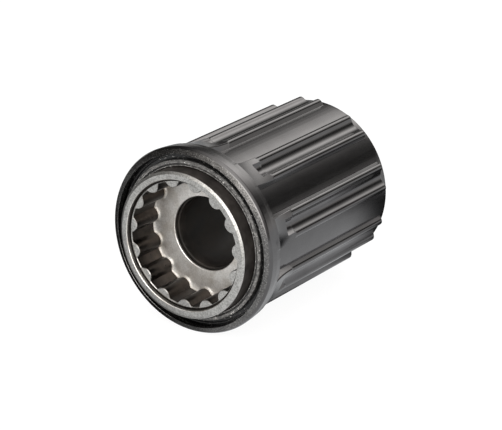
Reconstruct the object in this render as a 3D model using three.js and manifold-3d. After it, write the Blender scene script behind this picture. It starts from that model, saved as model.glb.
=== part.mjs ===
// Cassette freehub body: a splined steel driver that turns on two rows of loose
// balls around a fixed core, with two sprung pawls that lock it one way.
// The axle line is +Y and +Z is up. The pieces are drawn with y = 0 at the core's bare
// end face, which faces -Y and plugs into the hub shell, and the finished group is then
// moved so that its origin is at mid-length. The sprockets slide on from the +Y end.
// Angles around the axle are measured from +X towards +Z. All sizes are in mm.

import * as THREE from "three";
import { mergeVertices } from "three/addons/utils/BufferGeometryUtils.js";
import Module from "manifold-3d";

// ---- driving dimensions ----

const TAU = 2 * Math.PI;
const ROUND_STEPS = 48;            // flats around every turned surface

const SPLINE_COUNT = 9;
const SPLINE_TOP_R = 17.3;         // 34.6 mm across the ribs
const PANEL_R = 16.2;              // smooth panels between the splines
const SPLINE_PHASE = 13.9;         // angle of the first spline, degrees
const RIB_CREST = 7.2;             // each spline is two ribs: degrees from its middle to a rib's crest
const RIB_FOOT = 10.8;             // where a rib's outer wall meets the panel, degrees
const CROWN_INNER_R = 0.85;        // rounds on the groove side and the outer side of a crest
const CROWN_OUTER_R = 0.8;
const GROOVE_TILT = 51;            // steepest slope of the groove's wall, degrees
const FLANK_TILT = 62;             // slope of a rib's outer wall

const FLANGE_Y = 2.6;              // the driver's inboard edge
const FLANGE_FACE_R = 17.4;        // the face slopes back from here to the rim
const RIM_EDGE = [18.28, 3.22];    // (radius, y) where the sloped face meets the rim
const FLANGE_R = 18.42;
const RIM_Y = 3.5;
const NECK_R = 18.15;              // the flange tapers to this at the shoulder
const SHOULDER_Y = 6.5;            // the cassette stops here
const RAMP_END_Y = 13.0;           // each spline's top ramps down from the neck to here
const RAMP_R = 25;                 // round of that ramp, seen from the side
const GROOVE_Y = 10.15;            // the spline grooves start here
const RIB_END_Y = 44.5;
const DRIVER_END_Y = 46.1;

const BALL_R = 3.175 / 2;          // eighth-inch balls
const BALL_COUNT = 25;             // in each row
const BALL_RING_R = 13.1;
const RACE_R = 1.7;                // race groove radius, just over the ball
const INBOARD_ROW_Y = 10.4;
const OUTBOARD_ROW_Y = 36.5;
const EPS = 0.05;                  // fit gap between pieces that don't move apart
const RACE_BORE_R = BALL_RING_R + RACE_R + EPS;
const RELIEF = 0.7;                // grease relief between the ratchet and the far race
const MOUTH_CHAMFER = 0.5;

const RATCHET_TEETH = 24;
const RATCHET_TIP_R = 12.95;
const RATCHET_ROOT_R = 14.2;
const RATCHET_Y = [14.2, 21.8];
const RATCHET_FACE = 1.9;          // degrees taken by a tooth's steep face
const RATCHET_VALLEY_END = 4.0;
const RATCHET_TIP_LAND = 1.4;

const CORE_R = 14.46;
const CORE_BARREL_R = BALL_RING_R - RACE_R;
const PAWL_DECK_R = 12.3;          // the raised deck that carries the pawls
const PAWL_DECK_Y = [13.2, 23.0];
const CORE_BORE_R = 8.5;
const CORE_END_Y = 35.5;
const SOCKET_TEETH = 15;           // rounded teeth that grip the hub shell
const SOCKET_TOOTH_PHASE = 6.0;    // angle of the first tooth, degrees
const SOCKET_TOOTH_HALF = 7.4;     // half width of a tooth at its root, degrees
const SOCKET_TIP_R = 11.15;
const SOCKET_ROOT_R = 12.3;
const SOCKET_MOUTH_R = 12.89;
const SOCKET_Y = [0.8, 7.8];       // tooth faces, socket floor
const WEB_HOLE_R = [7.4, 7.0];     // stepped hole through the web
const WEB_STEP_Y = 9.0;
const WEB_END_Y = 11.0;

const PAWL_PIVOT_R = 11.0;
const PAWL_ANGLES = [29.9, 209.9];
const PAWL_Y = [15.0, 21.0];
const PAWL_HEEL_R = 1.25;
const PAWL_NOSE = 6.4;             // pivot to nose tip
const PAWL_NOSE_TOP = -0.15;       // height of the nose's corners above the pivot
const PAWL_NOSE_FOOT = -1.7;
const PAWL_BELLY = [3.0, -1.45];
const PAWL_ROOM = 0.2;             // space around a pawl in its pocket
const SPRING_Y = 18.0;
const SPRING_RING_R = 11.75;
const SPRING_WIRE_R = 0.35;
const SPRING_SLOT = 1.3;           // slot width in core and pawls
const SPRING_GAP = 16;             // opening between the wire's ends, degrees

const CUP_THREAD_R = 10.42;
const CUP_BORE_R = 9.0;
const CUP_BORE_END_Y = 37.5;
const CUP_START_Y = 31.0;
const CUP_SHOULDER_Y = 36.15;
const CUP_END_Y = 43.0;
const CUP_RIM_R = 12.6;
const CUP_COLLAR = [13.3, 39.0];   // (radius, y) of the collar that backs the outboard balls
const AXLE_RACE_R = 3.4;           // race for the hub's own quarter-inch balls
const AXLE_RACE_RING_R = 8.3;
const AXLE_RACE_Y = 41.3;
const NOTCH_WIDTH = 4.0;
const NOTCH_DEPTH = 1.6;
const SHIMS = { shim_thick: [35.55, 35.85], shim_thin: [35.9, 36.1] };

const SEAL_BORE_R = 17.08;         // recess for the inboard seal
const SEAL_SEAT_Y = 5.75;

// ---- materials ----

function steel(color, roughness) {
  return new THREE.MeshStandardMaterial({ color, roughness, metalness: 0.9 });
}

const BLACK_STEEL = () => steel(0x2a292b, 0.35);
const BRIGHT_STEEL = () => steel(0xb4b0aa, 0.3);
const GROUND_STEEL = () => steel(0x8d8b88, 0.25);
const SPRING_STEEL = () => steel(0x9a978f, 0.3);
const BALL_STEEL = () => steel(0xd0d0d0, 0.08);
const RUBBER = () => new THREE.MeshStandardMaterial({ color: 0x3c3c3e, roughness: 0.7, metalness: 0 });

// ---- small shape helpers ----

const wasm = await Module();
wasm.setup();

const rad = (degrees) => degrees * TAU / 360;

function toSolid(geometry) {
  const bare = geometry.clone();
  bare.deleteAttribute("normal");
  bare.deleteAttribute("uv");
  const merged = mergeVertices(bare, 1e-4);
  const vertProperties = new Float32Array(merged.attributes.position.array);
  const triVerts = new Uint32Array(merged.index.array);
  return new wasm.Manifold(new wasm.Mesh({ numProp: 3, vertProperties, triVerts }));
}

function toGeometry(solid) {
  const mesh = solid.getMesh();
  const geometry = new THREE.BufferGeometry();
  geometry.setAttribute("position", new THREE.BufferAttribute(mesh.vertProperties, 3));
  geometry.setIndex(new THREE.BufferAttribute(mesh.triVerts, 1));
  geometry.computeVertexNormals();
  return geometry;
}

// Turns a closed (radius, y) outline, listed counter-clockwise, about the axle.
function turned(outline, steps = ROUND_STEPS) {
  const points = outline.map(([r, y]) => new THREE.Vector2(r, y));
  points.push(points[0].clone());
  return new THREE.LatheGeometry(points, steps);
}

// Points of a quarter round in the (radius, y) plane, from one angle to another.
function arc(r, y, radius, from, to, steps = 4) {
  return Array.from({ length: steps + 1 }, (_, i) => {
    const a = rad(from + (to - from) * i / steps);
    return [r + radius * Math.cos(a), y + radius * Math.sin(a)];
  });
}

// Extrudes an outline drawn in the plane across the axle, between two y stations.
// Outline points are (x, z) as seen in the finished part.
function across(outline, y0, y1) {
  const shape = new THREE.Shape(outline.map(([x, z]) => new THREE.Vector2(x, -z)));
  const geometry = new THREE.ExtrudeGeometry(shape, { depth: y1 - y0, bevelEnabled: false });
  geometry.rotateX(-TAU / 4);
  geometry.translate(0, y0, 0);
  return geometry;
}

const polar = (r, degrees) => [r * Math.cos(rad(degrees)), r * Math.sin(rad(degrees))];

// ---- driver ----

// Half a spline across, from the middle of its groove to the foot, as (degrees, radius).
function splineHalf() {
  const degreeLength = rad(1) * (SPLINE_TOP_R + PANEL_R) / 2;
  const crest = RIB_CREST * degreeLength;
  const inner = arc(crest, SPLINE_TOP_R - CROWN_INNER_R, CROWN_INNER_R, 90 + GROOVE_TILT, 90, 3);
  const outer = arc(crest, SPLINE_TOP_R - CROWN_OUTER_R, CROWN_OUTER_R, 90, 90 - FLANK_TILT, 3);
  const [wallX, wallR] = inner[0];
  const bowlR = wallX / Math.sin(rad(GROOVE_TILT));
  const bowlMiddle = wallR + bowlR * Math.cos(rad(GROOVE_TILT));
  const bowl = arc(0, bowlMiddle, bowlR, 270, 270 + GROOVE_TILT, 3);
  const points = [...bowl.slice(0, -1), ...inner, ...outer.slice(1), [RIB_FOOT * degreeLength, PANEL_R]];
  return points.map(([x, r]) => [x / degreeLength, r]);
}

// One turn of the splined outside, with its crests stretched out to a given radius.
// The lead-in stretch has no groove in its splines.
function splineOutline(crestR, grooved) {
  const stretch = (crestR - PANEL_R) / (SPLINE_TOP_R - PANEL_R);
  const shaped = splineHalf().map(([offset, r]) => {
    const filled = !grooved && offset < RIB_CREST;
    return [offset, filled ? crestR : PANEL_R + (r - PANEL_R) * stretch];
  });
  const half = 180 / SPLINE_COUNT;
  const profile = [...shaped, [(half + RIB_FOOT) / 2, PANEL_R]];
  const mirrored = profile.slice(1).reverse().map(([offset, r]) => [-offset, r]);
  const outline = [];
  for (let i = 0; i < SPLINE_COUNT; i++) {
    const centre = SPLINE_PHASE + i * 360 / SPLINE_COUNT;
    outline.push(polar(PANEL_R, centre - half));
    for (const [offset, r] of [...mirrored, ...profile]) outline.push(polar(r, centre + offset));
  }
  return outline;
}

// The hole through the ratchet: a steep face, a short valley, then a long ramp.
function ratchetOutline() {
  const pitch = 360 / RATCHET_TEETH;
  const outline = [];
  for (let i = 0; i < RATCHET_TEETH; i++) {
    outline.push(polar(RATCHET_TIP_R, i * pitch));
    outline.push(polar(RATCHET_ROOT_R, i * pitch + RATCHET_FACE));
    outline.push(polar(RATCHET_ROOT_R - 0.1, i * pitch + RATCHET_VALLEY_END));
    outline.push(polar(RATCHET_TIP_R, (i + 1) * pitch - RATCHET_TIP_LAND));
  }
  return outline;
}

function driverBore() {
  const past = 1;
  return turned([
    [0, FLANGE_Y - past],
    [SEAL_BORE_R, FLANGE_Y - past],
    [SEAL_BORE_R, SEAL_SEAT_Y],
    [RACE_BORE_R, SEAL_SEAT_Y],
    ...arc(BALL_RING_R, INBOARD_ROW_Y, RACE_R + EPS, 0, 90),
    [RATCHET_TIP_R, INBOARD_ROW_Y + RACE_R + EPS],
    [RATCHET_TIP_R, PAWL_DECK_Y[1] + 1],
    [RATCHET_TIP_R + RELIEF, PAWL_DECK_Y[1] + 1 + RELIEF],
    [RATCHET_TIP_R + RELIEF, OUTBOARD_ROW_Y - 3 - RELIEF],
    [RATCHET_TIP_R, OUTBOARD_ROW_Y - 3],
    [RATCHET_TIP_R, OUTBOARD_ROW_Y - RACE_R - EPS],
    ...arc(BALL_RING_R, OUTBOARD_ROW_Y, RACE_R + EPS, -90, 0),
    [RACE_BORE_R, DRIVER_END_Y - MOUTH_CHAMFER],
    [RACE_BORE_R + MOUTH_CHAMFER, DRIVER_END_Y],
    [RACE_BORE_R + MOUTH_CHAMFER, DRIVER_END_Y + past],
    [0, DRIVER_END_Y + past],
  ]);
}

// Turned shape that trims the splines' crests where they ramp down from the neck.
function rampTrim() {
  const slope = Math.asin((RAMP_END_Y - SHOULDER_Y) / RAMP_R) * 360 / TAU;
  return turned([
    [0, RIM_Y],
    [NECK_R, RIM_Y],
    ...arc(SPLINE_TOP_R + RAMP_R, RAMP_END_Y, RAMP_R, 180 + slope, 180, 5),
    [0, RAMP_END_Y],
  ], 2 * ROUND_STEPS);
}

function driverBody() {
  const flange = turned([
    [0, FLANGE_Y],
    [FLANGE_FACE_R, FLANGE_Y],
    RIM_EDGE,
    [FLANGE_R, RIM_Y],
    [NECK_R, SHOULDER_Y],
    [0, SHOULDER_Y],
  ]);
  const rim = turned([
    [0, RIB_END_Y],
    [PANEL_R, RIB_END_Y],
    [PANEL_R, DRIVER_END_Y - 0.3],
    [PANEL_R - 0.3, DRIVER_END_Y],
    [0, DRIVER_END_Y],
  ]);
  const lead = across(splineOutline(FLANGE_R, false), RIM_Y, GROOVE_Y);
  const start = across(splineOutline(FLANGE_R, true), GROOVE_Y, RAMP_END_Y);
  const splines = across(splineOutline(SPLINE_TOP_R, true), RAMP_END_Y, RIB_END_Y);
  const ramps = toSolid(lead).add(toSolid(start)).intersect(toSolid(rampTrim()));
  const solid = toSolid(flange)
    .add(ramps)
    .add(toSolid(splines))
    .add(toSolid(rim))
    .subtract(toSolid(driverBore()))
    .subtract(toSolid(across(ratchetOutline(), ...RATCHET_Y)));
  return toGeometry(solid);
}

// ---- core ----

// The toothed socket: round-nosed teeth standing in from a round wall.
function socketOutline() {
  const pitch = 360 / SOCKET_TEETH;
  const height = SOCKET_ROOT_R - SOCKET_TIP_R;
  const outline = [];
  for (let i = 0; i < SOCKET_TEETH; i++) {
    const centre = SOCKET_TOOTH_PHASE + i * pitch;
    for (const share of [-1, -0.85, -0.5, 0, 0.5, 0.85, 1]) {
      const nose = height * Math.sqrt(1 - share * share);
      outline.push(polar(SOCKET_ROOT_R - nose, centre + share * SOCKET_TOOTH_HALF));
    }
    outline.push(polar(SOCKET_ROOT_R, centre + pitch / 2));
  }
  return outline;
}

// Pawl outline around its pivot: first number runs towards the nose, second outwards.
function pawlOutline(room) {
  const heel = arc(0, 0, PAWL_HEEL_R + room, 80, 280, 8);
  return [
    ...heel,
    [PAWL_BELLY[0], PAWL_BELLY[1] - room],
    [PAWL_NOSE - 0.3 + room, PAWL_NOSE_FOOT - room],
    [PAWL_NOSE + room, PAWL_NOSE_TOP + room],
  ];
}

// Pocket in the core: the pawl's shape with room round it, opened outwards.
function pawlPocket() {
  const [heelTop] = arc(0, 0, PAWL_HEEL_R + PAWL_ROOM, 80, 280, 8);
  const outline = pawlOutline(PAWL_ROOM);
  outline.push([PAWL_NOSE + PAWL_ROOM + 0.6, 3], [heelTop[0], 3]);
  return across(outline, PAWL_Y[0] - PAWL_ROOM, PAWL_Y[1] + PAWL_ROOM);
}

// Turns a pawl-frame solid so that its pivot sits at the given angle on the core.
function seatPawl(object, degrees) {
  object.position.set(PAWL_PIVOT_R * Math.cos(rad(degrees)), 0, PAWL_PIVOT_R * Math.sin(rad(degrees)));
  object.rotation.y = TAU / 4 - rad(degrees);
}

function coreBody() {
  const outside = turned([
    [0, 0],
    [CORE_R - 0.28, 0],
    [CORE_R, 0.28],
    [CORE_R, INBOARD_ROW_Y - RACE_R],
    ...arc(BALL_RING_R, INBOARD_ROW_Y, RACE_R, 270, 180),
    [CORE_BARREL_R, PAWL_DECK_Y[0] - 0.5],
    [PAWL_DECK_R, PAWL_DECK_Y[0]],
    [PAWL_DECK_R, PAWL_DECK_Y[1]],
    [CORE_BARREL_R, PAWL_DECK_Y[1] + 0.5],
    [CORE_BARREL_R, CORE_END_Y],
    [0, CORE_END_Y],
  ]);
  const bore = turned([
    [0, -1],
    [SOCKET_MOUTH_R, -1],
    [SOCKET_MOUTH_R, SOCKET_Y[0]],
    [WEB_HOLE_R[0], SOCKET_Y[0]],
    [WEB_HOLE_R[0], WEB_STEP_Y],
    [WEB_HOLE_R[1], WEB_STEP_Y],
    [WEB_HOLE_R[1], WEB_END_Y],
    [CORE_BORE_R, WEB_END_Y],
    [CORE_BORE_R, CUP_START_Y - 0.5],
    [CUP_THREAD_R + EPS, CUP_START_Y - 0.2],
    [CUP_THREAD_R + EPS, CORE_END_Y + 1],
    [0, CORE_END_Y + 1],
  ]);
  const springGroove = turned([
    [SPRING_RING_R - SPRING_WIRE_R - 0.15, SPRING_Y - SPRING_SLOT / 2],
    [PAWL_DECK_R + 1, SPRING_Y - SPRING_SLOT / 2],
    [PAWL_DECK_R + 1, SPRING_Y + SPRING_SLOT / 2],
    [SPRING_RING_R - SPRING_WIRE_R - 0.15, SPRING_Y + SPRING_SLOT / 2],
  ]);
  let solid = toSolid(outside)
    .subtract(toSolid(bore))
    .subtract(toSolid(across(socketOutline(), SOCKET_Y[0] - 0.1, SOCKET_Y[1])))
    .subtract(toSolid(springGroove));
  for (const degrees of PAWL_ANGLES) {
    const seat = new THREE.Object3D();
    seatPawl(seat, degrees);
    seat.updateMatrix();
    solid = solid.subtract(toSolid(pawlPocket().applyMatrix4(seat.matrix)));
  }
  return toGeometry(solid);
}

// ---- pawls and their spring ----

// The slot lets the ring spring bear on the heel and clear the nose.
function pawlBody() {
  const blank = across(pawlOutline(0), ...PAWL_Y);
  const slotY = [SPRING_Y - SPRING_SLOT / 2, SPRING_Y + SPRING_SLOT / 2];
  const overHeel = across([[-2, 0.1], [1, 0.1], [1, 3], [-2, 3]], ...slotY);
  const throughNose = across([[0.6, -3], [8, -3], [8, 3], [0.6, 3]], ...slotY);
  return toGeometry(toSolid(blank).subtract(toSolid(overHeel)).subtract(toSolid(throughNose)));
}

class OpenRing extends THREE.Curve {
  getPoint(t, target = new THREE.Vector3()) {
    const a = rad(120 + SPRING_GAP / 2 + t * (360 - SPRING_GAP));
    return target.set(SPRING_RING_R * Math.cos(a), 0, SPRING_RING_R * Math.sin(a));
  }
}

function pawlSpring() {
  const section = new THREE.Shape(arc(0, 0, SPRING_WIRE_R, 0, 315, 7).map(([x, y]) => new THREE.Vector2(x, y)));
  return new THREE.ExtrudeGeometry(section, { steps: 40, bevelEnabled: false, extrudePath: new OpenRing() });
}

// ---- bearing cup, shims and seals ----

function bearingCup() {
  const inner = arc(AXLE_RACE_RING_R, AXLE_RACE_Y, AXLE_RACE_R, 0, -72, 5);
  const ring = turned([
    [CUP_THREAD_R, CUP_START_Y],
    [CUP_THREAD_R, CUP_SHOULDER_Y],
    [CORE_BARREL_R, CUP_SHOULDER_Y],
    ...arc(BALL_RING_R, OUTBOARD_ROW_Y, RACE_R, 180, 90),
    [CUP_COLLAR[0], OUTBOARD_ROW_Y + RACE_R],
    CUP_COLLAR,
    [CUP_RIM_R, CUP_COLLAR[1] + 0.3],
    [CUP_RIM_R, CUP_END_Y],
    [AXLE_RACE_RING_R + AXLE_RACE_R, CUP_END_Y],
    ...inner,
    [CUP_BORE_R, CUP_BORE_END_Y],
    [CUP_BORE_R, CUP_START_Y],
  ]);
  const notch = new THREE.BoxGeometry(4 * CUP_RIM_R, 2 * NOTCH_DEPTH, NOTCH_WIDTH);
  notch.translate(0, CUP_END_Y, 0);
  return toGeometry(toSolid(ring).subtract(toSolid(notch)));
}

function washer(inner, outer, y0, y1) {
  return turned([[inner, y0], [outer, y0], [outer, y1], [inner, y1]]);
}

// Two lips stand towards -Y: a fine one that wipes the core and a broad one beside it,
// with an open gutter between the broad lip and the driver.
function inboardSeal() {
  const gutterY = 4.6;
  const wipeR = CORE_R + 0.12;
  return turned([
    [SEAL_BORE_R - EPS, gutterY],
    [SEAL_BORE_R - EPS, SEAL_SEAT_Y - EPS],
    [wipeR + 0.17, SEAL_SEAT_Y - EPS],
    [wipeR, 3.6],
    [wipeR + 0.17, 3.3],
    [15.0, 3.6],
    [15.2, 3.2],
    [15.65, 3.15],
    [15.8, 3.4],
    [15.8, gutterY],
  ]);
}

function outboardSeal() {
  return turned([
    [RACE_BORE_R - EPS, 39.6],
    [RACE_BORE_R - EPS, 41.4],
    [14.3, 41.4],
    [14.1, 40.9],
    [13.4, 40.9],
    [13.2, 41.4],
    [12.9, 41.4],
    [12.9, 39.6],
  ]);
}

// ---- assembly ----

const group = new THREE.Group();
group.position.y = -DRIVER_END_Y / 2;

function addMesh(parent, name, geometry, material) {
  const mesh = new THREE.Mesh(geometry, material);
  mesh.name = name;
  parent.add(mesh);
  return mesh;
}

addMesh(group, "driver_body", driverBody(), BLACK_STEEL());
addMesh(group, "core", coreBody(), BRIGHT_STEEL());
addMesh(group, "bearing_cup", bearingCup(), GROUND_STEEL());
for (const [name, [y0, y1]] of Object.entries(SHIMS)) {
  addMesh(group, name, washer(CUP_THREAD_R + 0.1, CORE_BARREL_R - 0.1, y0, y1), BRIGHT_STEEL());
}
addMesh(group, "inboard_seal", inboardSeal(), RUBBER());
addMesh(group, "outboard_seal", outboardSeal(), RUBBER());
addMesh(group, "pawl_spring", pawlSpring(), SPRING_STEEL()).position.y = SPRING_Y;

["pawl_a", "pawl_b"].forEach((name, i) => {
  seatPawl(addMesh(group, name, pawlBody(), GROUND_STEEL()), PAWL_ANGLES[i]);
});

for (const [row, y] of [["inboard", INBOARD_ROW_Y], ["outboard", OUTBOARD_ROW_Y]]) {
  const ring = new THREE.Group();
  ring.position.y = y;
  group.add(ring);
  for (let i = 0; i < BALL_COUNT; i++) {
    const name = `${row}_ball_${String(i + 1).padStart(2, "0")}`;
    const ball = addMesh(ring, name, new THREE.SphereGeometry(BALL_R, 8, 5), BALL_STEEL());
    const a = TAU * i / BALL_COUNT;
    ball.position.set(BALL_RING_R * Math.cos(a), 0, BALL_RING_R * Math.sin(a));
  }
}

export default group;
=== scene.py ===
"""Looks for the cassette freehub body: fine meshes, procedural materials, light and camera."""
from math import atan2, cos, degrees, pi, radians, sin, sqrt

import bmesh
import bpy
import numpy as np
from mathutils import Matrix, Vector


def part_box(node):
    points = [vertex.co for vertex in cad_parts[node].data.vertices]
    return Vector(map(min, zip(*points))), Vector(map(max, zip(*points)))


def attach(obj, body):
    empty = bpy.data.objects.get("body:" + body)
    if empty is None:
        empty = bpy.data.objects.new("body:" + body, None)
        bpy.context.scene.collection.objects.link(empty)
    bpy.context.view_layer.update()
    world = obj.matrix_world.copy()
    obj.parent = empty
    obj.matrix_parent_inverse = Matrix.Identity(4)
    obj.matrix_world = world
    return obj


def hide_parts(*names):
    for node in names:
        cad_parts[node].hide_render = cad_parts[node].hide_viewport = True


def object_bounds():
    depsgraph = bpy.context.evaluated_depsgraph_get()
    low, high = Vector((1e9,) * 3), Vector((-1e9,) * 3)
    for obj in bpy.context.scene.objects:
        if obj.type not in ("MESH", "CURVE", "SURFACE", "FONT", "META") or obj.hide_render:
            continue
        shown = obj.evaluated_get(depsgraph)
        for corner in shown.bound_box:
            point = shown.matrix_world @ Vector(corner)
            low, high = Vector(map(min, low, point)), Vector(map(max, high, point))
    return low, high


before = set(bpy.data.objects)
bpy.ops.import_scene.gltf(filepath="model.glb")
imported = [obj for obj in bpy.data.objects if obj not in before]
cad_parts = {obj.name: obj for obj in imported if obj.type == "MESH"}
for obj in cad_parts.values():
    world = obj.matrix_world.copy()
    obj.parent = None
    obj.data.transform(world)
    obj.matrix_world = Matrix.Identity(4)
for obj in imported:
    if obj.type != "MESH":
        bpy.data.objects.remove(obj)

CAD_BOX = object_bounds()
MM = 0.001

# ---- places and sizes, in millimetres, with y = 0 at the core's bare end face ----

ORIGIN_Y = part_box("core")[0].y / MM                      # the end face in the row frame
DRIVER_LOW, DRIVER_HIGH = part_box("driver_body")
FLANGE_Y = DRIVER_LOW.y / MM - ORIGIN_Y
DRIVER_END_Y = DRIVER_HIGH.y / MM - ORIGIN_Y
FLANGE_R = DRIVER_HIGH.x / MM
CORE_END_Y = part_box("core")[1].y / MM - ORIGIN_Y
CORE_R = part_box("core")[1].x / MM

SPLINE_COUNT = 9
SPLINE_PHASE = 13.9              # degrees, from +X towards +Z
SPLINE_TOP_R = 17.3
PANEL_R = 16.2
RIB_CREST, RIB_FOOT = 7.2, 10.8  # degrees from the spline's middle
CROWN_INNER, CROWN_OUTER = 0.85, 0.8   # rounds on a rib's two sides, in millimetres
GROOVE_TILT, FLANK_TILT = 51.0, 62.0   # steepest slopes inside and outside a rib
RIM_EDGE = (18.12, 2.98)         # (radius, y) where the flange's sloped face meets its rim
NECK_R = 18.15                   # the flange tapers to this at the shoulder
SHOULDER_Y = 6.5
GROOVE_Y = 10.15
RAMP_END_Y = 13.0                # where the ribs' tops come down to SPLINE_TOP_R
RIB_END_Y = 44.5
RIB_END_FALL = (                 # mm past RIB_END_Y, and the share of the rib's height left there
    (-0.4, 1.0), (-0.2, 0.97), (-0.08, 0.86), (-0.02, 0.6), (0.0, 0.2), (0.05, 0.04), (0.15, 0.0),
)

BALL_R = 3.175 / 2
BALL_RING_R = 13.1               # circle of the balls' centres
INNER_RACE_R, OUTER_RACE_R = 1.7, 1.75   # rounds of the races in core and cup, and in the driver
INBOARD_ROW_Y = 10.4
OUTBOARD_ROW_Y = 36.5

RATCHET_TEETH = 24
RATCHET_TIP_R, RATCHET_ROOT_R = 12.95, 14.2
RATCHET_Y = (14.2, 21.8)
RATCHET_PITCH = 360 / RATCHET_TEETH
RATCHET_CORNERS = (0, 1.9, 4.0, RATCHET_PITCH - 1.4)     # degrees: tip, valley's two ends, next tip
RACE_BORE_R = 14.85              # driver's bore beyond each ball row
RELIEF_DEPTH, RELIEF_END_Y = 0.7, 24.7   # recess between the ratchet and the outboard row
THREAD_Y = (41.9, 45.4)          # lockring thread inside the outboard end
THREAD_ROOT_R, THREAD_CREST_R = 15.25, 14.75
THREAD_PITCH = 1.0
THREAD_ROWS = 9                  # mesh rows in one turn
SEAL_BORE_R = 17.08
SEAL_SEAT_Y = 5.75
SEAL_RUB_AND_SHADE_Y = (3.3, 3.6)       # the seal is rubbed pale up to the first, and painted near black past the second, as painted shade in its gutter

SOCKET_TEETH = 15
SOCKET_PHASE = 6.0
SOCKET_ROOT_R = 12.3
SOCKET_TOOTH_R = 1.25            # radius of a tooth's round nose
SOCKET_TOOTH_H = 1.17
SOCKET_MOUTH_R = 12.89
SOCKET_FACE_Y, WEB_Y = 0.8, 7.8
WEB_HOLE_R, WEB_STEP_R = 7.4, 7.0
CORE_BARREL_R = 11.4
CORE_BORE_R = 8.5
PAWL_DECK_R = 12.3

PAWL_ANGLES = {"pawl_a": 29.9, "pawl_b": 209.9}
PAWL_PIVOT_R = 11.0
PAWL_HEEL_R = 1.25
PAWL_NOSE = 6.4
PAWL_Y = (15.0, 21.0)
PAWL_POCKET = (-7.5, 30.8)       # degrees from the pivot to a pocket's two ends
SPRING_Y = 18.0
SPRING_RING_R = 11.75
SPRING_WIRE_R = 0.35
SPRING_SLOT = 1.3

CUP_THREAD_R = 10.42
CUP_BORE_R = 9.0
CUP_SHOULDER_Y = 36.15
CUP_END_Y = 43.0
CUP_RIM_R = 12.6
CUP_DISH = (8.3, 41.3, 3.4)      # (radius, y) of the centre of the round inside the cup, and its radius
CUP_MOUTH_R = 11.7               # where that round meets the rim
CUP_NOTCH_HALF, CUP_NOTCH_DEPTH = 2.0, 1.6    # half a notch's width, and its depth


def put(r, y, degrees_):
    """A point in the row frame from its radius, station and angle, in millimetres and degrees."""
    a = radians(degrees_)
    return Vector((r * cos(a), y + ORIGIN_Y, r * sin(a))) * MM


# ---- mesh helpers ----

SHARP = radians(32)


def finish_mesh(bm, name, body, slot, material, *nodes):
    """Makes an object from bm, shades it smooth up to SHARP, and sets it on its body."""
    bmesh.ops.recalc_face_normals(bm, faces=bm.faces)
    for face in bm.faces:
        face.smooth = True
    for edge in bm.edges:
        edge.smooth = len(edge.link_faces) == 2 and edge.calc_face_angle(0) < SHARP
    mesh = bpy.data.meshes.new(name)
    bm.to_mesh(mesh)
    bm.free()
    piece = bpy.data.objects.new(name, mesh)
    bpy.context.collection.objects.link(piece)
    mesh.materials.append(material)
    weighted = piece.modifiers.new("weighted_normals", "WEIGHTED_NORMAL")
    weighted.keep_sharp = True
    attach(piece, body)
    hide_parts(*nodes)
    return piece


def rounded(corners, steps=3):
    """Points along a (radius, y) path whose corners carry an optional rounding radius."""
    points = []
    for i, corner in enumerate(corners):
        here = Vector(corner[:2])
        size = corner[2] if len(corner) > 2 else 0
        if not size or i in (0, len(corners) - 1):
            points.append(tuple(here))
            continue
        before = (Vector(corners[i - 1][:2]) - here).normalized()
        after = (Vector(corners[i + 1][:2]) - here).normalized()
        half = before.angle(after) / 2
        reach = size / np.tan(half)
        centre = here + (before + after).normalized() * (size / sin(half))
        start, stop = here + before * reach - centre, here + after * reach - centre
        for k in range(steps + 1):
            points.append(tuple(centre + start.slerp(stop, k / steps) * start.length))
    return points


def arc(r, y, radius, start, stop, steps=8):
    """Points of a round in the (radius, y) plane."""
    angles = [radians(start + (stop - start) * k / steps) for k in range(steps + 1)]
    return [(r + radius * cos(a), y + radius * sin(a)) for a in angles]


def skin(rows, thetas):
    """A closed mesh from rows of (radius, y), each a number or one number per angle.
    The rows run once round the cross-section, and every row runs round the axle."""
    bm = bmesh.new()
    thetas = np.asarray(thetas, float)
    cosines, sines = np.cos(np.radians(thetas)), np.sin(np.radians(thetas))
    rings = []
    for r, y in rows:
        r = np.broadcast_to(r, thetas.shape)
        y = np.broadcast_to(y, thetas.shape)
        xs, ys, zs = r * cosines * MM, (y + ORIGIN_Y) * MM, r * sines * MM
        rings.append([bm.verts.new(p) for p in zip(xs, ys, zs)])
    count = len(thetas)
    for low, high in zip(rings, rings[1:] + rings[:1]):
        for j in range(count):
            k = (j + 1) % count
            bm.faces.new((low[j], high[j], high[k], low[k]))
    return bm


def even(count):
    """Evenly spaced angles, in degrees."""
    return np.arange(count) * 360 / count


# ---- material helpers ----

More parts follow.
